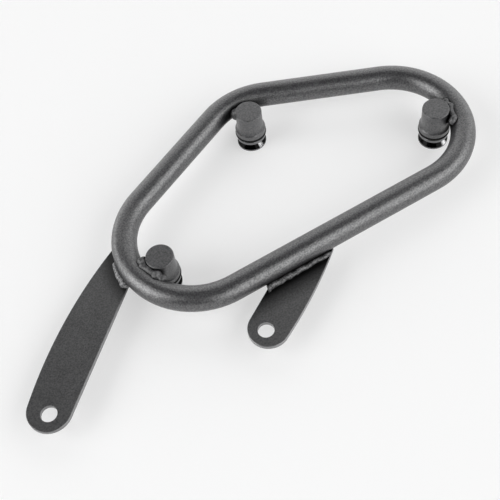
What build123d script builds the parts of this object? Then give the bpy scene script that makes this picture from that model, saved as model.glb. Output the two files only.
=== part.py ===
from build123d import *
import os
from math import asin, atan2, cos, degrees, radians, sin, sqrt, tan

os.makedirs("parts", exist_ok=True)

# Side carrier for a motorbike pannier: a closed loop of bent tube, two bolt-on tabs, and three
# posts inside the loop, each with a polished stud whose waist a pannier's latch clips round.
# Millimetres, +Z up, lying on the feet of the studs. The origin is the axis of the apex stud at
# its foot. X runs along the base run of the loop, and Y points from the base run to the apex.

# Tube loop
tube_diameter = 16.0
tube_wall = 2.0
bend_radius = 45.8  # of the centreline, the same in all three bends
end_bend_spacing = 144.4  # between the centres of the two end bends
apex_bend_rise = 32.9  # centre of the apex bend past the line of the end bends

# Posts, turned from bar, with a straight upper part and a flared collar at the foot
post_diameter = 17.4
post_height = 18.8
post_above_tube = 2.0  # top of a post over the crown of the tube
post_edge = 0.7  # rounding of the top
flare_height = 3.8
collar_diameter = 20.0
collar_rim = 3.4  # straight rim under the flare
collar_edge = 0.4  # rounding of the rim
end_post_turn = 14.8  # degrees from the line of the end bends, towards the base run
end_post_bite = 0.8  # depth of the saddle in an end post that the tube lies in
apex_post_gap = 2.6  # from the apex post to the tube, filled by the weld

# Studs, screwed up into the posts
stud_diameter = 19.4
stud_height = 9.4
stud_top_rim = 2.4
stud_foot_rim = 1.6
stud_waist_depth = 3.0
stud_waist_drop = 1.0  # narrowest place under the top rim
stud_edge = 0.5  # chamfer of the head and of the shank
thread_diameter = 8.0
thread_clearance = 0.05  # all round the shank
shank_length = 12.0
tapping_runout = 2.0  # of the hole past the end of the shank
drill_point = 118.0  # degrees
socket_width = 6.0  # across the flats of the hexagon
socket_depth = 4.5

# Rubber rings, between the studs and the collars
ring_diameter = 20.6
ring_thickness = 2.0
ring_edge = 0.7
ring_bore_clearance = 0.3  # all round the thread

# Tabs, cut from plate, their undersides level with the underside of the tube
tab_thickness = 3.0
tab_hole_diameter = 10.0
tab_edge = 0.3  # bevel of the outline
root_gap = 0.1  # from the cut edge of a tab to the tube

# Long tab, measured from the centre of the left end bend
long_hole_out = 128.4
long_hole_down = 56.5
long_end_radius = 13.5
long_end_shift_x = 1.2  # centre of the rounded end from the hole
long_end_shift_y = 2.1
long_bow_radius = 308.0  # of the edge on the apex side
long_bow_angle = 152.0  # degrees round the bend to the root of that edge
long_straight_angle = 185.8  # degrees round the bend to the root of the straight edge

# Short tab, measured from the middle of the base run
short_hole_along = 69.8
short_hole_out = 32.1
short_end_radius = 12.6
short_end_shift_x = 2.1  # centre of the rounded end from the hole
short_end_shift_y = 0.5
short_bow_radius = 326.0  # of the edge that faces the middle of the base run
short_bow_root = 6.4  # along the base run to the root of that edge
short_straight_root = 50.6  # along the base run to the root of the straight edge

# Weld beads along the roots of the tabs, over and under the plate
tab_bead_radius = 2.9
tab_bead_out = 1.2  # centre of the bead out from the cut edge of the tab
tab_bead_lift = 0.9  # centre of the bead over the tab
under_bead_radius = 2.4
under_bead_in = 1.0  # centre of the bead in from the cut edge of the tab
under_bead_lift = 0.7  # centre of the bead over the underside of the tab
under_bead_inset = 3.0  # centre of a round end in from that of the bead over the plate
long_bead_start = 168.0  # degrees round the bend to the centre of a round end
long_bead_end = 185.4
short_bead_start = 51.3  # along the base run to the centre of a round end
short_bead_end = 11.8

# Weld beads in the grooves between the posts and the tube
end_bead_radius = 3.8
end_bead_out = 2.4  # centre of the bead out from the inner wall of the tube
end_bead_drop = 2.8  # centre of the bead under the crown of the tube
end_bead_span = 20.5  # degrees round the bend
apex_bead_radius = 5.0
apex_bead_in = 1.6  # centre of the bead in from the inner wall of the tube
apex_bead_drop = 5.8
apex_bead_span = 15.0

tube_radius = tube_diameter / 2
post_radius = post_diameter / 2
collar_radius = collar_diameter / 2
stud_radius = stud_diameter / 2
thread_radius = thread_diameter / 2
shank_radius = thread_radius - thread_clearance

# Heights
collar_z = stud_height + ring_thickness
post_top_z = collar_z + post_height
shank_top_z = stud_height + shank_length
tube_z = post_top_z - post_above_tube - tube_radius
tab_z = tube_z - tube_radius
tab_top_z = tab_z + tab_thickness

# Plan of the loop
apex_post_reach = bend_radius - tube_radius - apex_post_gap - post_radius
end_post_reach = bend_radius - tube_radius + end_post_bite - post_radius
apex_centre = Vector(0, -apex_post_reach, 0)
left_centre = apex_centre + Vector(-end_bend_spacing / 2, -apex_bend_rise, 0)
right_centre = apex_centre + Vector(end_bend_spacing / 2, -apex_bend_rise, 0)
base_middle = Vector(0, left_centre.Y - bend_radius, 0)
side_lean = degrees(atan2(apex_bend_rise, end_bend_spacing / 2))

# Where the top of a tab meets the flank of the tube, out from the centreline
flank_reach = sqrt(tube_radius**2 - (tube_z - tab_top_z) ** 2) + root_gap


def around(centre, radius, angle, z=0.0):
    # the point at a radius and an angle in degrees round a centre, at a height
    return Vector(centre.X + radius * cos(radians(angle)), centre.Y + radius * sin(radians(angle)), z)


def finish(part, name):
    # names a piece and writes it
    part.label = name
    export_step(part, f"parts/{name}.step")


# Loop tube, bent from one length and closed
with BuildLine() as loop_path:
    right_bend = CenterArc(around(right_centre, 0, 0, tube_z), bend_radius, -90, 180 - side_lean)
    apex_bend = CenterArc(around(apex_centre, 0, 0, tube_z), bend_radius, 90 - side_lean, 2 * side_lean)
    left_bend = CenterArc(around(left_centre, 0, 0, tube_z), bend_radius, 90 + side_lean, 180 - side_lean)
    Line(right_bend @ 1, apex_bend @ 0)
    Line(apex_bend @ 1, left_bend @ 0)
    Line(left_bend @ 1, right_bend @ 0)

tube_start = Plane(right_bend @ 0, z_dir=right_bend % 0)

with BuildPart() as tube_outside:
    with BuildSketch(tube_start):
        Circle(tube_radius)
    sweep(path=loop_path.wire())

with BuildPart() as loop_tube:
    add(tube_outside.part)
    with BuildSketch(tube_start):
        Circle(tube_radius - tube_wall)
    sweep(path=loop_path.wire(), mode=Mode.SUBTRACT)

finish(loop_tube.part, "loop_tube")

# Posts, each with a tapped blind hole from below
post_spots = {
    "apex": Vector(0, 0, 0),
    "left": around(left_centre, end_post_reach, 180 + end_post_turn),
    "right": around(right_centre, end_post_reach, -end_post_turn),
}
hole_top_z = shank_top_z + tapping_runout
drill_tip_z = hole_top_z + thread_radius / tan(radians(drill_point / 2))
flare_top = (post_radius, collar_z + collar_rim + flare_height)
rim_top = (collar_radius, collar_z + collar_rim)
posts = {}
for name, spot in post_spots.items():
    with BuildPart() as post:
        with BuildSketch(Plane(spot, x_dir=(1, 0, 0), z_dir=(0, -1, 0))):
            with BuildLine():
                Polyline((0, drill_tip_z), (0, post_top_z), (post_radius, post_top_z), flare_top)
                TangentArc(flare_top, rim_top, tangent=(0, -1))
                Polyline(
                    rim_top,
                    (collar_radius, collar_z),
                    (thread_radius, collar_z),
                    (thread_radius, hole_top_z),
                    (0, drill_tip_z),
                )
            make_face()
        revolve(axis=Axis(spot, (0, 0, 1)))
        top_edge = post.edges().filter_by(GeomType.CIRCLE).sort_by(Axis.Z)[-1]
        rim_edges = post.edges().filter_by(GeomType.CIRCLE).sort_by(SortBy.RADIUS)[-2:]
        fillet(rim_edges, collar_edge)
        fillet(top_edge, post_edge)
        add(tube_outside.part, mode=Mode.SUBTRACT)
    posts[name] = post.part
    finish(post.part, f"{name}_post")

# Studs, each a waisted head on a shank, with a hexagon socket in its foot
waist_top_z = stud_height - stud_top_rim
for name, spot in post_spots.items():
    with BuildPart() as stud:
        with BuildSketch(Plane(spot, x_dir=(1, 0, 0), z_dir=(0, -1, 0))):
            with BuildLine():
                Polyline(
                    (0, shank_top_z),
                    (0, 0),
                    (stud_radius - stud_edge, 0),
                    (stud_radius, stud_edge),
                    (stud_radius, stud_foot_rim),
                    (stud_radius - stud_waist_depth, waist_top_z - stud_waist_drop),
                    (stud_radius, waist_top_z),
                    (stud_radius, stud_height - stud_edge),
                    (stud_radius - stud_edge, stud_height),
                    (shank_radius, stud_height),
                    (shank_radius, shank_top_z - stud_edge),
                    (shank_radius - stud_edge, shank_top_z),
                    (0, shank_top_z),
                )
            make_face()
        revolve(axis=Axis(spot, (0, 0, 1)))
        with BuildSketch(Plane(spot)):
            RegularPolygon(socket_width / 2, 6, major_radius=False)
        extrude(amount=socket_depth, mode=Mode.SUBTRACT)
    finish(stud.part, f"{name}_stud")

# Rubber rings
for name, spot in post_spots.items():
    with BuildPart() as ring:
        with BuildSketch(Plane(spot).offset(stud_height)):
            Circle(ring_diameter / 2)
            Circle(thread_radius + ring_bore_clearance, mode=Mode.SUBTRACT)
        extrude(amount=ring_thickness)
        fillet(ring.edges().filter_by(GeomType.CIRCLE).sort_by(SortBy.RADIUS)[-2:], ring_edge)
    finish(ring.part, f"{name}_ring")


def straight_edge(root, end_centre, end_radius, side):
    # a straight edge through its root, from under the tube to where it touches the rounded end
    to_end = end_centre - root
    lean = degrees(asin(end_radius / to_end.length))
    reach = sqrt(to_end.length**2 - end_radius**2)
    ahead = to_end.normalized().rotate(Axis.Z, side * lean)
    return root - ahead * tube_radius, root + ahead * reach


def bowed_edge(root, end_centre, end_radius, bow_radius, side):
    # an edge that bows outwards, from under the tube to where it touches the rounded end
    to_end = end_centre - root
    along = (bow_radius**2 - (bow_radius - end_radius) ** 2 + to_end.length**2) / (2 * to_end.length)
    across = sqrt(bow_radius**2 - along**2)
    ahead = to_end.normalized()
    bow_centre = root + ahead * along + ahead.rotate(Axis.Z, -side * 90) * across
    touch = bow_centre + (end_centre - bow_centre).normalized() * bow_radius
    run_on = side * degrees(tube_radius / bow_radius)
    under_tube = bow_centre + (root - bow_centre).rotate(Axis.Z, run_on)
    return under_tube, root, touch


# The space inside the roots of the tabs, at the level of the plate
with BuildPart() as inside_roots:
    with BuildSketch(Plane.XY.offset(tab_z)):
        with Locations(left_centre, right_centre, apex_centre):
            Circle(bend_radius + flank_reach)
        make_hull()
    extrude(amount=tab_thickness)


def make_tab(hole, end_centre, end_radius, straight_root, bow_root, bow_radius, side):
    # a plate with a straight edge, a bowed edge, a rounded end and a root cut to the tube
    straight_start, straight_touch = straight_edge(straight_root, end_centre, end_radius, side)
    bow_start, bow_pass, bow_touch = bowed_edge(bow_root, end_centre, end_radius, bow_radius, -side)
    root_middle = (straight_root + bow_root) * 0.5
    tip = end_centre + (end_centre - root_middle).normalized() * end_radius
    with BuildPart() as tab:
        with BuildSketch(Plane.XY.offset(tab_z)):
            with BuildLine():
                Line(straight_start, straight_touch)
                ThreePointArc(straight_touch, tip, bow_touch)
                ThreePointArc(bow_touch, bow_pass, bow_start)
                Line(bow_start, straight_start)
            make_face()
        extrude(amount=tab_thickness)
        chamfer(tab.faces().filter_by(Axis.Z).edges(), tab_edge)
        add(inside_roots.part, mode=Mode.SUBTRACT)
        with BuildSketch(Plane.XY.offset(tab_z)):
            with Locations(hole):
                Circle(tab_hole_diameter / 2)
        extrude(amount=tab_thickness, mode=Mode.SUBTRACT)
    return tab.part


long_hole = left_centre - Vector(long_hole_out, long_hole_down, 0)
long_tab = make_tab(
    long_hole,
    long_hole + Vector(long_end_shift_x, long_end_shift_y, 0),
    long_end_radius,
    around(left_centre, bend_radius + flank_reach, long_straight_angle),
    around(left_centre, bend_radius + flank_reach, long_bow_angle),
    long_bow_radius,
    1,
)
finish(long_tab, "long_tab")

short_hole = base_middle - Vector(short_hole_along, short_hole_out, 0)
short_tab = make_tab(
    short_hole,
    short_hole + Vector(short_end_shift_x, short_end_shift_y, 0),
    short_end_radius,
    base_middle - Vector(short_straight_root, flank_reach, 0),
    base_middle - Vector(short_bow_root, flank_reach, 0),
    short_bow_radius,
    -1,
)
finish(short_tab, "short_tab")


def make_bead(points, bead_radius, neighbours):
    # a level bead with round ends along a row of points, fitted to its neighbours
    with BuildPart() as bead:
        with BuildLine() as bead_path:
            Polyline(*points)
        with BuildSketch(Plane(points[0], z_dir=points[1] - points[0])):
            Circle(bead_radius)
        sweep(path=bead_path.wire(), transition=Transition.RIGHT)
        for end, inner in ((points[0], points[1]), (points[-1], points[-2])):
            outwards = end - inner
            heading = degrees(atan2(outwards.Y, outwards.X))
            with Locations(Location(end, (0, 0, heading - 90))):
                Sphere(bead_radius, arc_size3=180, align=None)
        for neighbour in neighbours:
            add(neighbour, mode=Mode.SUBTRACT)
    return bead.part


def long_bead_points(out, z, inset):
    # a row of points along the root of the long tab
    radius = bend_radius + out
    start = long_bead_start + degrees(inset / radius)
    end = long_bead_end - degrees(inset / radius)
    return [around(left_centre, radius, angle, z) for angle in (start, (start + end) / 2, end)]


def short_bead_points(out, z, inset):
    # the two ends of a bead along the root of the short tab
    start = base_middle + Vector(inset - short_bead_start, -out, z)
    end = base_middle + Vector(-inset - short_bead_end, -out, z)
    return [start, end]


# Beads at the roots of the tabs: one in the corner over the plate, one in the groove under it
tab_beads = {
    "long_tab": (long_tab, long_bead_points),
    "short_tab": (short_tab, short_bead_points),
}
for name, (tab, bead_points) in tab_beads.items():
    over_points = bead_points(flank_reach + tab_bead_out, tab_top_z + tab_bead_lift, 0)
    over_bead = make_bead(over_points, tab_bead_radius, [tube_outside.part, inside_roots.part, tab])
    finish(over_bead, f"{name}_weld")
    under_points = bead_points(flank_reach - under_bead_in, tab_z + under_bead_lift, under_bead_inset)
    under_bead = make_bead(under_points, under_bead_radius, [tube_outside.part, tab])
    finish(under_bead, f"{name}_under_weld")

# Beads between the posts and the inside of the tube
inner_wall = bend_radius - tube_radius
crown_z = tube_z + tube_radius
end_bead = (inner_wall + end_bead_out, crown_z - end_bead_drop, end_bead_span, end_bead_radius)
apex_bead = (inner_wall - apex_bead_in, crown_z - apex_bead_drop, apex_bead_span, apex_bead_radius)
post_beads = {
    "apex": (apex_centre, 90, apex_bead),
    "left": (left_centre, 180 + end_post_turn, end_bead),
    "right": (right_centre, -end_post_turn, end_bead),
}
for name, (centre, angle, (radius, z, span, bead_radius)) in post_beads.items():
    ends = [around(centre, radius, angle + turn, z) for turn in (-span / 2, span / 2)]
    post_bead = make_bead(ends, bead_radius, [tube_outside.part, posts[name]])
    finish(post_bead, f"{name}_post_weld")
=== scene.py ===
import bpy
import numpy as np
from mathutils import Matrix, Vector


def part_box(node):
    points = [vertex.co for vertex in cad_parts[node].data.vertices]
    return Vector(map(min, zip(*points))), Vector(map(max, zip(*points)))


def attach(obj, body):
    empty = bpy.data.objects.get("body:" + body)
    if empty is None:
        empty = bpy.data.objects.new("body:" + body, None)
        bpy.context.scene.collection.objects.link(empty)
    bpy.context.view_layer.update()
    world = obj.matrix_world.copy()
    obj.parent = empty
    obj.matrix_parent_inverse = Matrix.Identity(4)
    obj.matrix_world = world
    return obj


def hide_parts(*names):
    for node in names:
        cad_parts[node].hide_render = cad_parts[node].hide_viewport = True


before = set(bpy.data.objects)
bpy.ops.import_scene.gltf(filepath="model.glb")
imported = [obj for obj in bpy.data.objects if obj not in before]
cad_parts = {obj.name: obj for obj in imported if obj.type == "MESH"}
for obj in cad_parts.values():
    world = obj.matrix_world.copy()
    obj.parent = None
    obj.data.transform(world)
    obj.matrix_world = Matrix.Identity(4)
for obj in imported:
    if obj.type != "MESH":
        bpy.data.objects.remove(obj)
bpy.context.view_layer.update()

# Side carrier for a motorbike pannier: a loop of bent tube with two plate tabs and three posts, all
# in black powder coat, and under each post a rubber ring and a polished stud, on which it stands.
# Metres, +Z up.

scene = bpy.context.scene
scene.view_settings.view_transform = "Standard"
mm = 0.001

# Places read from the frame: the tube's section, its bends and base run, and the top of the plates
tubeLow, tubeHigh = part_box("loop_tube")
tubeRadius = (tubeHigh.z - tubeLow.z) / 2
tubeLevel = (tubeHigh.z + tubeLow.z) / 2
bendRadius = 45.8 * mm  # of the tube's centreline
bendReach = bendRadius + tubeRadius
leftBend = Vector((tubeLow.x + bendReach, tubeLow.y + bendReach, tubeLevel))
rightBend = Vector((tubeHigh.x - bendReach, tubeLow.y + bendReach, tubeLevel))
apexBend = Vector((0, tubeHigh.y - bendReach, tubeLevel))
baseRun = leftBend.y - bendRadius
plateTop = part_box("short_tab")[1].z


# Shapes

def linePath(start, end, count):
    # points from start to end, crowded towards both ends, and the level direction to the outside
    along = (1 - np.cos(np.linspace(0, np.pi, count))) / 2
    points = np.array(start) + along[:, None] * (np.array(end) - np.array(start))
    heading = points[-1] - points[0]
    side = np.array([heading[1], -heading[0], 0]) / np.hypot(heading[0], heading[1])
    return points, np.repeat(side[None], count, 0)


def bendPath(centre, radius, level, startAngle, endAngle, count):
    # points round a bend, crowded towards both ends, and the direction away from its centre
    along = (1 - np.cos(np.linspace(0, np.pi, count))) / 2
    angle = np.radians(startAngle + along * (endAngle - startAngle))
    side = np.stack([np.cos(angle), np.sin(angle), np.zeros(count)], 1)
    points = np.array([centre.x, centre.y, level]) + radius * side
    return points, side


def waves(along, pitch, size, seed):
    # a sum of four sine waves of nearby pitches with drawn phases, for uneven lumps
    draw = np.random.default_rng(seed)
    pitches = pitch * draw.uniform(0.7, 1.5, 4)
    phases = draw.uniform(0, 2 * np.pi, 4)
    return size * np.sin(2 * np.pi * along[:, None] / pitches + phases).sum(1) / 2


def skinMesh(name, rings):
    # a closed skin over rings of points: quads between rings, wrapped round, and a fan at each
    # end, where the whole first and last ring are one point
    count, around = rings.shape[:2]
    inner = rings[1:-1].reshape(-1, 3)
    points = np.vstack([rings[0, :1], inner, rings[-1, :1]])
    here = 1 + np.arange(around)
    after = 1 + (np.arange(around) + 1) % around
    row = around * np.arange(count - 3)[:, None]
    quads = np.stack([row + here, row + here + around, row + after + around, row + after], -1)
    last = len(points) - 1
    lastRing = around * (count - 3)
    startFan = np.stack([np.zeros(around, int), here, after], -1)
    endFan = np.stack([np.full(around, last), lastRing + after, lastRing + here], -1)
    faces = quads.reshape(-1, 4).tolist() + startFan.tolist() + endFan.tolist()
    mesh = bpy.data.meshes.new(name)
    mesh.from_pydata(points.tolist(), [], faces)
    mesh.polygons.foreach_set("use_smooth", np.ones(len(mesh.polygons), bool))
    mesh.update()
    piece = bpy.data.objects.new(name, mesh)
    scene.collection.objects.link(piece)
    return piece


def weldBead(name, node, path, bead, finish):
    # A weld bead is a round section carried along the joint. Its radius rises from nothing at both
    # ends like a quarter circle, grows evenly from the first end to the last, keeps to a share of
    # that in the tail at its first end and eases out of it, swells in slow lumps, and is stepped by
    # ripples: |sin| of the way along, whose phase lags towards the flanks, so each ripple is a
    # crescent, and runs on across the bead, so they lie slanted like the lay of a rope. Slow waves
    # also carry the section from side to side and up and down.
    points, side = path
    gaps = np.linalg.norm(np.diff(points, axis=0), axis=1)
    along = np.concatenate([[0], np.cumsum(gaps)])
    length = along[-1]
    share = along / length
    toEnd = np.minimum(along, length - along)
    missing = np.clip(1 - toEnd / bead["roundEnd"], 0, 1)
    rise = np.sqrt(1 - missing ** 2)
    swell = 1 + waves(along, bead["lumpPitch"], bead["lump"], bead["seed"])
    grow = bead["firstWidth"] + (bead["lastWidth"] - bead["firstWidth"]) * share
    thin = np.clip((along - bead["tailLength"]) / bead["tailLength"], 0, 1)
    tail = bead["tailWidth"] + (1 - bead["tailWidth"]) * thin ** 2 * (3 - 2 * thin)
    radius = bead["radius"] * rise * swell * grow * tail
    angle = np.linspace(0, 2 * np.pi, bead["around"], endpoint=False)
    lag = bead["crescent"] * (1 - np.sin(angle)) + bead["slant"] * np.cos(angle)
    phase = np.pi * along[:, None] / bead["ripplePitch"] - lag
    wander = 0.6  # radians by which the ripples come early or late
    phase = phase + waves(along, 4 * bead["ripplePitch"], wander, bead["seed"] + 1)[:, None]
    middle = 0.6  # about the mean of |sin|, so that ripples leave the bead's size as it is
    ripple = bead["ripple"] * (np.abs(np.sin(phase)) - middle) * rise[:, None]
    reach = radius[:, None] + ripple
    drift = waves(along, bead["driftPitch"], bead["drift"], bead["seed"] + 2)
    lift = waves(along, bead["driftPitch"], bead["drift"], bead["seed"] + 3)
    wide = reach * np.cos(angle) + drift[:, None]
    tall = reach * np.sin(angle) + lift[:, None]
    rings = points[:, None] + wide[..., None] * side[:, None] + tall[..., None] * np.array([0, 0, 1])
    piece = skinMesh(name, rings)
    piece.data.materials.append(finish)
    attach(piece, "root")
    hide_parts(node)


# Finishes

noiseSpan = (0.3, 0.7)  # most of a noise lies between these


def newFinish(name):
    # an empty node material with its shader, and the place on the object that its patterns follow
    material = bpy.data.materials.new(name)
    material.use_nodes = True
    tree = material.node_tree
    tree.nodes.clear()
    output = tree.nodes.new("ShaderNodeOutputMaterial")
    shader = tree.nodes.new("ShaderNodeBsdfPrincipled")
    tree.links.new(shader.outputs["BSDF"], output.inputs["Surface"])
    place = tree.nodes.new("ShaderNodeTexCoord").outputs["Object"]
    return material, tree, shader, place


def feed(tree, value, socket):
    # a link where the value comes out of a node, and otherwise a fixed value
    if isinstance(value, bpy.types.NodeSocket):
        tree.links.new(value, socket)
    else:
        socket.default_value = value


def reckon(tree, operation, first, second=None):
    # one step of arithmetic on numbers
    node = tree.nodes.new("ShaderNodeMath")
    node.operation = operation
    feed(tree, first, node.inputs[0])
    if second is not None:
        feed(tree, second, node.inputs[1])
    return node.outputs["Value"]


def reckonVector(tree, operation, first, second=None, result="Vector"):
    # one step of arithmetic on vectors
    node = tree.nodes.new("ShaderNodeVectorMath")
    node.operation = operation
    feed(tree, first, node.inputs[0])
    if second is not None:
        feed(tree, second, node.inputs[1])
    return node.outputs[result]


def rescale(tree, value, fromLow, fromHigh, toLow=0.0, toHigh=1.0):
    # a value carried evenly from one range to another and held at its ends
    node = tree.nodes.new("ShaderNodeMapRange")
    feed(tree, value, node.inputs["Value"])
    feed(tree, fromLow, node.inputs["From Min"])
    feed(tree, fromHigh, node.inputs["From Max"])
    feed(tree, toLow, node.inputs["To Min"])
    feed(tree, toHigh, node.inputs["To Max"])
    return node.outputs["Result"]


def upPart(tree, vector):
    # the upward part of a place or a direction
    split = tree.nodes.new("ShaderNodeSeparateXYZ")
    feed(tree, vector, split.inputs["Vector"])
    return split.outputs["Z"]


def blend(tree, factor, first, second):
    # from one colour, at a factor of 0, to another, at 1
    mix = tree.nodes.new("ShaderNodeMixRGB")
    feed(tree, factor, mix.inputs["Fac"])
    feed(tree, first, mix.inputs["Color1"])
    feed(tree, second, mix.inputs["Color2"])
    return mix.outputs["Color"]


def noise(tree, place, size, detail=2.0, stretch=None):
    # noise whose grains are about as wide as size, in metres
    if stretch:
        mapping = tree.nodes.new("ShaderNodeMapping")
        feed(tree, place, mapping.inputs["Vector"])
        feed(tree, stretch, mapping.inputs["Scale"])
        place = mapping.outputs["Vector"]
    node = tree.nodes.new("ShaderNodeTexNoise")
    feed(tree, place, node.inputs["Vector"])
    feed(tree, 0.5 / size, node.inputs["Scale"])  # a grain is about half of the noise's pitch
    feed(tree, detail, node.inputs["Detail"])
    feed(tree, 0.55, node.inputs["Roughness"])  # how much each finer layer counts
    return node.outputs["Fac"]


def toneRamp(tree, factor, dark, light, span=noiseSpan):
    # from a dark tone to a light one over a span of a factor
    ramp = tree.nodes.new("ShaderNodeValToRGB")
    for element, position, tone in zip(ramp.color_ramp.elements, span, (dark, light)):
        element.position = position
        element.color = (*tone, 1)
    feed(tree, factor, ramp.inputs["Fac"])
    return ramp.outputs["Color"]


def spread(tree, factor, values):
    # a noise carried to a range of values
    return rescale(tree, factor, *noiseSpan, *values)


def bump(tree, height, depth, under=None):
    # relief of a depth in metres, over another relief where one is given
    node = tree.nodes.new("ShaderNodeBump")
    feed(tree, 1.0, node.inputs["Strength"])
    feed(tree, depth, node.inputs["Distance"])
    feed(tree, height, node.inputs["Height"])
    if under:
        feed(tree, under, node.inputs["Normal"])
    return node.outputs["Normal"]


def paintedEdgeSheen(tree, colour, edgeSheenTone):
    # a lighter tone painted on the upright faces of a plate, a painted reflection on its sheared
    # edges
    geometry = tree.nodes.new("ShaderNodeNewGeometry")
    upward = reckon(tree, "ABSOLUTE", upPart(tree, geometry.outputs["True Normal"]))
    onFace, onEdge = 0.9, 0.6  # upward part of the normal where the tone begins and where it is full
    return blend(tree, rescale(tree, upward, onFace, onEdge), colour, (*edgeSheenTone, 1))


def outOfCrevices(tree, coat):
    # 0 deep in the corners between two pieces, where shade is painted into the coat, and 1 in the
    # open
    corner = tree.nodes.new("ShaderNodeAmbientOcclusion")
    corner.samples = 12  # rays that feel for a corner
    feed(tree, coat["crevice"], corner.inputs["Distance"])
    return rescale(tree, corner.outputs["AO"], *coat["openness"])


def awayFromTube(tree, place, coat):
    # 0 beside the weld of a tab and 1 where the painted shade ends, by the distance from the tube,
    # which is measured from the centre of the left bend along the axes that lie across the joint
    away = reckonVector(tree, "SUBTRACT", place, leftBend)
    across = reckonVector(tree, "MULTIPLY", away, coat["paintedShadeAcross"])
    distance = reckonVector(tree, "LENGTH", across, result="Value")
    return rescale(tree, distance, bendRadius + coat["paintedShadeStart"], bendRadius + coat["paintedShadeEnd"])


def powderCoat(name, coat):
    # fine-textured powder coat: a dark tone and a gloss that sparkle with the grain, relief of
    # melted grains over a slow orange peel, and painted shade, black and dull, in the corners
    # between pieces and beside the welds of the tabs
    material, tree, shader, place = newFinish(name)
    grain = noise(tree, place, coat["grain"], detail=3.0)
    peel = noise(tree, place, coat["peel"])
    # painted shade in the corners between pieces, where the colour goes black and the gloss dull
    clear = outOfCrevices(tree, coat)
    if "paintedShadeAcross" in coat:
        # painted shade on the tabs beside their welds, fading with the distance from the tube
        clear = reckon(tree, "MULTIPLY", clear, awayFromTube(tree, place, coat))
    tone = np.array(coat["tone"])
    dark, light = tone * (1 - coat["fleck"]), tone * (1 + coat["fleck"])
    colour = toneRamp(tree, grain, dark, light, coat["ramp"])
    # painted reflection: a lighter tone on the sheared edges of the tabs
    if "cutSheenUnderShade" in coat:
        colour = paintedEdgeSheen(tree, colour, coat["cutSheenUnderShade"])
    # painted shade darkens the colour
    colour = blend(tree, clear, (*coat["paintedShadeTone"], 1), colour)
    if "cutSheenOverShade" in coat:
        colour = paintedEdgeSheen(tree, colour, coat["cutSheenOverShade"])
    gleam = toneRamp(tree, grain, np.full(3, 1 - coat["sparkle"]), np.ones(3), coat["ramp"])
    # painted shade dulls the gloss
    gleam = blend(tree, clear, (*coat["paintedShadeGloss"], 1), gleam)
    slow = bump(tree, peel, coat["peelDepth"])
    feed(tree, colour, shader.inputs["Base Color"])
    feed(tree, spread(tree, peel, coat["gloss"]), shader.inputs["Roughness"])
    feed(tree, bump(tree, grain, coat["grainDepth"], slow), shader.inputs["Normal"])
    feed(tree, gleam, shader.inputs["Specular Tint"])
    shader.inputs["Specular IOR Level"].default_value = 1.0
    shader.inputs["IOR"].default_value = coat["ior"]
    return material


def turnedChrome(name, chrome):
    # dark polished chrome over turned steel, nearly black in the waist between the rims, with a
    # painted highlight on one side of the waist, fine lines round the axis and a faint haze
    material, tree, shader, place = newFinish(name)
    lines = noise(tree, place, chrome["linePitch"], detail=1.0, stretch=chrome["lineStretch"])
    haze = noise(tree, place, chrome["hazeSize"])
    height = upPart(tree, place)
    overFoot = reckon(tree, "GREATER_THAN", height, chrome["waistFoot"])
    underTop = reckon(tree, "LESS_THAN", height, chrome["waistTop"])
    waist = reckon(tree, "MULTIPLY", overFoot, underTop)
    geometry = tree.nodes.new("ShaderNodeNewGeometry")
    level = reckonVector(tree, "MULTIPLY", geometry.outputs["Normal"], (1, 1, 0))
    outward = reckonVector(tree, "NORMALIZE", level)
    turn = np.radians(chrome["paintedGlintBearing"])
    bearing = (np.cos(turn), np.sin(turn), 0)
    facing = reckonVector(tree, "DOT_PRODUCT", outward, bearing, result="Value")
    # painted highlight: a bright tone on the waist where it faces one bearing
    offGlint = rescale(tree, facing, 1.0, np.cos(np.radians(chrome["paintedGlintHalf"])))
    tone = np.array(chrome["tone"])
    waistTone = np.array(chrome["waistTone"])
    rim = toneRamp(tree, haze, tone * chrome["haze"], tone)
    black = toneRamp(tree, haze, waistTone * chrome["waistHaze"], waistTone)
    black = blend(tree, offGlint, (*chrome["paintedGlintTone"], 1), black)
    feed(tree, blend(tree, waist, rim, black), shader.inputs["Base Color"])
    feed(tree, spread(tree, haze, chrome["gloss"]), shader.inputs["Roughness"])
    feed(tree, bump(tree, lines, chrome["lineDepth"]), shader.inputs["Normal"])
    shader.inputs["Metallic"].default_value = 1.0
    return material


def ringRubber(name, rubber):
    # moulded rubber: nearly black, matt, with a dusty bloom and a fine moulded grain
    material, tree, shader, place = newFinish(name)
    bloom = noise(tree, place, rubber["bloomSize"])
    grain = noise(tree, place, rubber["grain"])
    tone = np.array(rubber["tone"])
    least, most = rubber["bloom"]
    feed(tree, toneRamp(tree, bloom, tone * least, tone * most), shader.inputs["Base Color"])
    feed(tree, spread(tree, bloom, rubber["gloss"]), shader.inputs["Roughness"])
    feed(tree, bump(tree, grain, rubber["grainDepth"]), shader.inputs["Normal"])
    shader.inputs["Specular IOR Level"].default_value = rubber["sheen"]
    return material


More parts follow.
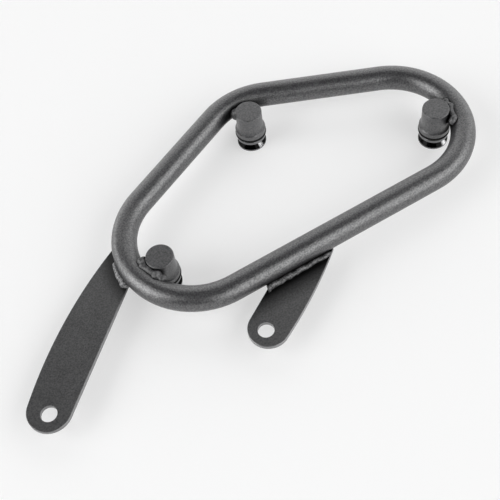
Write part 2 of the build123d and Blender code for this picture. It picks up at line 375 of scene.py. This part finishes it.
# coat defaults, with the tone and gloss of the painted shade in corners
coatWithPaintedShade = {
    "ior": 1.60,
    "ramp": noiseSpan,  # of the grain, from dark to light: the closer, the sharper the flecks
    "crevice": 8.0 * mm,  # how far a corner reaches
    "openness": (0.45, 0.90),  # share of the sky in sight, from full painted shade to none
    # tone of the painted shade
    "paintedShadeTone": (0.004, 0.004, 0.004),
    "paintedShadeGloss": (0.12, 0.12, 0.12),  # share of the gloss that is left in the painted shade
}
tubeCoat = powderCoat("tubeCoat", {
    **coatWithPaintedShade,
    "crevice": 12.0 * mm,
    "openness": (0.58, 0.96),
    "ramp": (0.38, 0.62),
    "tone": (0.034, 0.034, 0.036),
    "fleck": 0.3,  # share of the tone that the grain adds or takes
    "sparkle": 0.46,  # share of the gloss that the grain takes
    "ior": 1.75,
    "gloss": (0.29, 0.36),  # roughness, from the smooth places to the rough
    "grain": 0.5 * mm,  # width of a melted grain
    "grainDepth": 0.20 * mm,
    "peel": 2.5 * mm,  # width of the orange peel
    "peelDepth": 0.05 * mm,
})
plate = {
    **coatWithPaintedShade,
    "tone": (0.042, 0.042, 0.043),
    "fleck": 0.55,
    "sparkle": 0.25,
    "gloss": (0.33, 0.40),
    "grain": 0.5 * mm,
    "grainDepth": 0.05 * mm,
    "peel": 3.0 * mm,
    "peelDepth": 0.04 * mm,
}
longTabCoat = powderCoat("longTabCoat", {
    **plate,
    "cutSheenUnderShade": (0.12, 0.12, 0.122),  # tone of the painted reflection on the sheared edges, under the painted shade
    # painted shade beside the weld, black and dull near the tube and fading out from it
    "paintedShadeTone": (0.012, 0.012, 0.012),
    "paintedShadeGloss": (0.4, 0.4, 0.4),
    "paintedShadeAcross": (1, 1, 0),  # axes across the joint
    "paintedShadeStart": 10.5 * mm,  # out from the tube's centreline
    "paintedShadeEnd": 20.0 * mm,
})
shortTabCoat = powderCoat("shortTabCoat", {
    **plate,
    "cutSheenOverShade": (0.16, 0.16, 0.163),  # tone of the painted reflection on the sheared edges, over the painted shade
    # painted shade beside the weld, black and dull near the tube and fading out from it
    "paintedShadeTone": (0.002, 0.002, 0.002),
    "paintedShadeGloss": (0.05, 0.05, 0.05),
    "paintedShadeAcross": (0, 1, 0),
    "paintedShadeStart": 11.8 * mm,
    "paintedShadeEnd": 25.0 * mm,
})
postCoat = powderCoat("postCoat", {
    **coatWithPaintedShade,
    "crevice": 4.0 * mm,
    "tone": (0.044, 0.044, 0.046),
    "fleck": 0.5,
    "sparkle": 0.35,
    "gloss": (0.30, 0.37),
    "grain": 0.6 * mm,
    "grainDepth": 0.06 * mm,
    "peel": 2.0 * mm,
    "peelDepth": 0.04 * mm,
})
weld = {
    **coatWithPaintedShade,
    "crevice": 3.0 * mm,
    "ramp": (0.4, 0.6),
    "tone": (0.055, 0.055, 0.057),
    "fleck": 0.7,
    "sparkle": 0.6,
    "gloss": (0.44, 0.54),
    "grain": 0.55 * mm,
    "grainDepth": 0.10 * mm,
    "peel": 1.5 * mm,
    "peelDepth": 0.08 * mm,
}
weldCoat = powderCoat("weldCoat", weld)
postWeldCoat = powderCoat("postWeldCoat", {
    **weld,
    "ramp": noiseSpan,
    "tone": (0.040, 0.040, 0.042),
    "fleck": 0.5,
    "sparkle": 0.5,
})
thinWeldCoat = powderCoat("thinWeldCoat", {
    **weld,
    "tone": (0.160, 0.160, 0.163),
    "fleck": 0.65,
})
studChrome = turnedChrome("studChrome", {
    "tone": (0.20, 0.20, 0.205),
    "haze": 0.9,  # share of the tone in the haze
    "waistTone": (0.006, 0.006, 0.006),
    "waistHaze": 0.8,
    "waistFoot": 1.6 * mm,  # heights over the floor
    "waistTop": 7.0 * mm,
    # painted highlight on one side of the waist: its tone, bearing and half width
    "paintedGlintTone": (0.95, 0.95, 0.96),
    "paintedGlintBearing": -74.0,  # degrees from +X
    "paintedGlintHalf": 14.0,  # degrees from its middle to where it has faded
    "gloss": (0.10, 0.16),
    "linePitch": 0.25 * mm,
    "lineStretch": (0.02, 0.02, 1.0),  # level, so that the lines run round
    "lineDepth": 0.004 * mm,
    "hazeSize": 4.0 * mm,
})
blackRubber = ringRubber("blackRubber", {
    "tone": (0.006, 0.006, 0.006),
    "gloss": (0.6, 0.75),
    "sheen": 0.2,
    "bloom": (0.7, 1.4),  # shares of the tone, from bare to dusty
    "bloomSize": 3.0 * mm,
    "grain": 0.3 * mm,
    "grainDepth": 0.03 * mm,
})
print("finishes made:", len(bpy.data.materials))

nodeFinish = {"loop_tube": tubeCoat, "long_tab": longTabCoat, "short_tab": shortTabCoat}
for corner in ("apex", "left", "right"):
    nodeFinish[corner + "_post"] = postCoat
    nodeFinish[corner + "_stud"] = studChrome
    nodeFinish[corner + "_ring"] = blackRubber
for node, finish in nodeFinish.items():
    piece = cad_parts[node]
    piece.data.materials.clear()
    piece.data.materials.append(finish)
print("nodes finished:", len(nodeFinish))

# Welds

shortTabBead = {
    "firstEnd": -55.5 * mm,  # along the base run
    "lastEnd": -9.4 * mm,
    "tail": 3.2 * mm,  # how far the first end runs out along the edge of the plate
    "tailLength": 1.2 * mm,  # of the thin part, which takes as much again to widen
    "tailWidth": 0.4,  # share of the full width
    "out": 8.2 * mm,  # from the tube's centreline
    "over": 0.0,  # over the plate
    "radius": 2.4 * mm,
    "firstWidth": 1.2,  # shares of the radius at the two ends
    "lastWidth": 0.75,
    "roundEnd": 3.0 * mm,
    "lump": 0.06,  # share of the radius
    "lumpPitch": 7.0 * mm,
    "ripple": 0.16 * mm,
    "ripplePitch": 6.0 * mm,
    "crescent": 0.3,  # radians of lag
    "slant": 1.1,
    "drift": 0.22 * mm,
    "driftPitch": 10.0 * mm,
    "rings": 320,  # of points along the bead, and points in each
    "around": 48,
    "seed": 3,
}
shortLevel = plateTop + shortTabBead["over"]
shortOut = baseRun - shortTabBead["out"]
shortPath = linePath((shortTabBead["firstEnd"], shortOut, shortLevel),
                     (shortTabBead["lastEnd"], shortOut, shortLevel), shortTabBead["rings"])
# the tail leaves the line of the tube like a falling exponential
fromEnd = shortPath[0][:, 0] - shortTabBead["firstEnd"]
shortPath[0][:, 1] -= shortTabBead["tail"] * np.exp(-fromEnd / shortTabBead["tailLength"])
weldBead("shortTabWeld", "short_tab_weld", shortPath, shortTabBead, weldCoat)

longTabBead = {
    **shortTabBead,
    "firstAngle": 165.5,  # degrees round the left bend
    "lastAngle": 187.6,
    "tailWidth": 1.0,
    "out": 7.5 * mm,
    "over": 0.3 * mm,
    "radius": 2.8 * mm,
    "firstWidth": 0.85,
    "lastWidth": 1.4,
    "lump": 0.04,
    "ripple": 0.08 * mm,
    "drift": 0.12 * mm,
    "rings": 220,
    "seed": 11,
}
longPath = bendPath(leftBend, bendRadius + longTabBead["out"], plateTop + longTabBead["over"],
                    longTabBead["firstAngle"], longTabBead["lastAngle"], longTabBead["rings"])
weldBead("longTabWeld", "long_tab_weld", longPath, longTabBead, thinWeldCoat)

underBead = {
    **shortTabBead,
    "firstAngle": 168.7,  # of the bead under the long tab
    "lastAngle": 184.7,
    "tailWidth": 1.0,
    "out": 5.3 * mm,
    "over": -2.3 * mm,
    "radius": 2.2 * mm,
    "firstWidth": 1.0,
    "lastWidth": 1.0,
    "roundEnd": 2.3 * mm,
    "drift": 0.1 * mm,
    "rings": 240,
    "around": 40,
    "seed": 23,
}
underLevel = plateTop + underBead["over"]
underOut = baseRun - underBead["out"]
shortUnderLow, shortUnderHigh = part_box("short_tab_under_weld")
shortUnderPath = linePath((shortUnderLow.x, underOut, underLevel),
                          (shortUnderHigh.x, underOut, underLevel), underBead["rings"])
weldBead("shortTabUnderWeld", "short_tab_under_weld", shortUnderPath, underBead, weldCoat)
longUnderPath = bendPath(leftBend, bendRadius + underBead["out"], underLevel,
                         underBead["firstAngle"], underBead["lastAngle"], underBead["rings"])
weldBead("longTabUnderWeld", "long_tab_under_weld", longUnderPath, underBead, weldCoat)

endPostBead = {
    "in": 6.4 * mm,  # from the tube's centreline
    "under": 2.5 * mm,  # under the crown of the tube
    "turn": 16.6,  # degrees from the line of the end bends to the middle of the bead
    "sweep": 34.0,  # degrees round the bend
    "radius": 2.7 * mm,
    "firstWidth": 1.3,
    "lastWidth": 1.1,
    "roundEnd": 3.0 * mm,
    "tailLength": 2.0 * mm,
    "tailWidth": 1.0,
    "lump": 0.15,
    "lumpPitch": 7.0 * mm,
    "ripple": 0.15 * mm,
    "ripplePitch": 4.0 * mm,
    "crescent": 0.7,
    "slant": 0.5,
    "drift": 0.35 * mm,
    "driftPitch": 9.0 * mm,
    "rings": 240,
    "around": 56,
    "seed": 31,
}
beadLevel = tubeHigh.z - endPostBead["under"]
endRadius = bendRadius - endPostBead["in"]
leftStart = 180 + endPostBead["turn"] - endPostBead["sweep"] / 2
leftPath = bendPath(leftBend, endRadius, beadLevel,
                    leftStart, leftStart + endPostBead["sweep"], endPostBead["rings"])
weldBead("leftPostWeld", "left_post_weld", leftPath, endPostBead, postWeldCoat)

rightBead = {
    **endPostBead,
    "turn": 18.0,
    "sweep": 31.0,
    "firstWidth": 1.25,
    "lastWidth": 0.95,
    "lump": 0.12,
    "seed": 37,
}
rightStart = rightBead["sweep"] / 2 - rightBead["turn"]
rightPath = bendPath(rightBend, endRadius, beadLevel,
                     rightStart, rightStart - rightBead["sweep"], rightBead["rings"])
weldBead("rightPostWeld", "right_post_weld", rightPath, rightBead, postWeldCoat)

apexPostBead = {
    **endPostBead,
    "in": 10.0 * mm,
    "under": 7.0 * mm,
    "sweep": 27.0,
    "firstWidth": 1.0,
    "lastWidth": 1.15,
    "radius": 4.3 * mm,
    "roundEnd": 5.4 * mm,
    "lump": 0.08,
    "seed": 43,
}
apexHalf = apexPostBead["sweep"] / 2
apexPath = bendPath(apexBend, bendRadius - apexPostBead["in"], tubeHigh.z - apexPostBead["under"],
                    90 - apexHalf, 90 + apexHalf, apexPostBead["rings"])
weldBead("apexPostWeld", "apex_post_weld", apexPath, apexPostBead, postWeldCoat)
print("welds laid")

# Floor, light and camera

studio = {
    "floorTone": (0.93, 0.93, 0.93),
    "floorDrift": 0.99,  # share of the tone in the darker places
    "driftSize": 0.12,  # width of such a place
    "floorRough": 0.7,
    "floorSheen": 0.2,
    "floorSize": 60.0,
    "floorWhite": 0.45,  # share of the floor that reads as plain white paper, without shade
    "whiteFrom": 1.0,  # distance at which that share begins to grow, and at which it is all
    "whiteTo": 2.0,
    "paperWhite": 0.97,
    "distance": 4.0,  # of the lamps
    # bearing from +X and elevation in degrees, width and height as shares of the distance, radiance
    "rightBox": (-58.4, 31.0, 1.50, 0.86, 2.65),
    "leftBox": (172.0, 28.0, 0.74, 0.90, 3.8),
    "lowPanel": (130.0, 5.0, 1.00, 0.26, 2.6),
    "backPanel": (49.0, 26.0, 3.00, 1.3, 1.06),
    "skyTone": 0.02,
    "horizonTone": 1.0,
    "horizonFade": 0.20,  # sine of the elevation over which the glow fades
    "glowBearing": 25.0,  # degrees from +X to the brightest part of the horizon
    "glowLeast": 0.13,  # share of the glow that is left on the other side
    "paperRise": 0.06,  # sine of the elevation up to which the paper is seen to rise
}


def seenRays(tree):
    # 1 for what the lens sees, also in polished metal or through glass, and 0 for light on a surface
    rays = tree.nodes.new("ShaderNodeLightPath")
    seen = rays.outputs["Is Camera Ray"]
    for kind in ("Is Glossy Ray", "Is Transmission Ray"):
        seen = reckon(tree, "MAXIMUM", seen, rays.outputs[kind])
    return seen


def paleFloor():
    # a wide flat sheet with a faint unevenness of tone and a soft sheen
    half = studio["floorSize"] / 2
    mesh = bpy.data.meshes.new("floor")
    corners = [(-half, -half, 0), (half, -half, 0), (half, half, 0), (-half, half, 0)]
    mesh.from_pydata(corners, [], [(0, 1, 2, 3)])
    floor = bpy.data.objects.new("floor", mesh)
    scene.collection.objects.link(floor)
    material, tree, shader, place = newFinish("floorPaper")
    tone = np.array(studio["floorTone"])
    drift = noise(tree, place, studio["driftSize"])
    uneven = toneRamp(tree, drift, tone * studio["floorDrift"], tone)
    feed(tree, uneven, shader.inputs["Base Color"])
    shader.inputs["Roughness"].default_value = studio["floorRough"]
    shader.inputs["Specular IOR Level"].default_value = studio["floorSheen"]
    # what the lens and polished metal see of the floor is part plain white and part shaded paper,
    # and far from the frame all plain white
    paper = tree.nodes.new("ShaderNodeEmission")
    paper.inputs["Strength"].default_value = studio["paperWhite"]
    distance = reckonVector(tree, "LENGTH", place, result="Value")
    white = rescale(tree, distance, studio["whiteFrom"], studio["whiteTo"], studio["floorWhite"])
    mix = tree.nodes.new("ShaderNodeMixShader")
    feed(tree, reckon(tree, "MULTIPLY", seenRays(tree), white), mix.inputs["Fac"])
    tree.links.new(shader.outputs["BSDF"], mix.inputs[1])
    tree.links.new(paper.outputs["Emission"], mix.inputs[2])
    tree.links.new(mix.outputs["Shader"], tree.nodes["Material Output"].inputs["Surface"])
    mesh.materials.append(material)


def softBox(name, azimuth, elevation, width, height, radiance):
    # a rectangular lamp at a bearing from the middle of the loop, turned to face it
    turn, rise = np.radians(azimuth), np.radians(elevation)
    bearing = Vector((np.cos(rise) * np.cos(turn), np.cos(rise) * np.sin(turn), np.sin(rise)))
    lamp = bpy.data.lights.new(name, "AREA")
    lamp.shape = "RECTANGLE"
    lamp.size = width * studio["distance"]
    lamp.size_y = height * studio["distance"]
    lamp.energy = radiance * np.pi * lamp.size * lamp.size_y
    box = bpy.data.objects.new(name, lamp)
    middle = Vector((0, (tubeLow.y + tubeHigh.y) / 2, 0))
    box.location = middle + bearing * studio["distance"]
    box.rotation_euler = bearing.to_track_quat("Z", "Y").to_euler()
    box.visible_camera = False
    scene.collection.objects.link(box)


def dimSky():
    # a dark sky with a pale band along the horizon, brightest towards one bearing: the band fades
    # with the exponential of the height, and its share grows evenly with the cosine of the bearing;
    # low over the horizon the lens sees plain white paper, as on the floor
    world = bpy.data.worlds.new("dimSky")
    scene.world = world
    world.use_nodes = True
    tree = world.node_tree
    background = tree.nodes["Background"]
    direction = tree.nodes.new("ShaderNodeTexCoord").outputs["Generated"]
    height = upPart(tree, direction)
    fade = reckon(tree, "EXPONENT", reckon(tree, "DIVIDE", height, -studio["horizonFade"]))
    turn = np.radians(studio["glowBearing"])
    bearing = (np.cos(turn), np.sin(turn), 0)
    facing = reckonVector(tree, "DOT_PRODUCT", direction, bearing, result="Value")
    share = rescale(tree, facing, -1.0, 1.0, studio["glowLeast"])
    glow = reckon(tree, "MULTIPLY", fade, share)
    level = rescale(tree, glow, 0.0, 1.0, studio["skyTone"], studio["horizonTone"])
    low = reckon(tree, "LESS_THAN", height, studio["paperRise"])
    paper = reckon(tree, "MULTIPLY", low, seenRays(tree))
    strength = rescale(tree, paper, 0.0, 1.0, level, studio["paperWhite"])
    feed(tree, strength, background.inputs["Strength"])
    background.inputs["Color"].default_value = (1, 1, 1, 1)


paleFloor()
for lampName in ("rightBox", "leftBox", "lowPanel", "backPanel"):
    softBox(lampName, *studio[lampName])
dimSky()
print("floor and lamps set")

camera = {
    "place": (-172.3 * mm, -380.2 * mm, 513.6 * mm),
    "ahead": (0.2069, 0.4991, -0.8415),
    "right": (0.8593, -0.5040, -0.0877),
    "lens": 69.44,  # on a 36 mm square frame
    "sensor": 36.0,
    "near": 0.01,  # nearest and farthest that it sees
    "far": 200.0,
}


def photoCamera():
    # the camera of the photograph, from its place and two of its axes
    lens = bpy.data.cameras.new("photoCamera")
    lens.sensor_fit = "HORIZONTAL"
    lens.sensor_width = camera["sensor"]
    lens.lens = camera["lens"]
    lens.clip_start = camera["near"]
    lens.clip_end = camera["far"]
    ahead = Vector(camera["ahead"]).normalized()
    right = Vector(camera["right"])
    right = (right - ahead * right.dot(ahead)).normalized()
    up = right.cross(ahead)
    turned = Matrix((right, up, -ahead)).transposed().to_4x4()
    body = bpy.data.objects.new("photoCamera", lens)
    body.matrix_world = Matrix.Translation(Vector(camera["place"])) @ turned
    scene.collection.objects.link(body)
    scene.camera = body


photoCamera()
print("camera set")
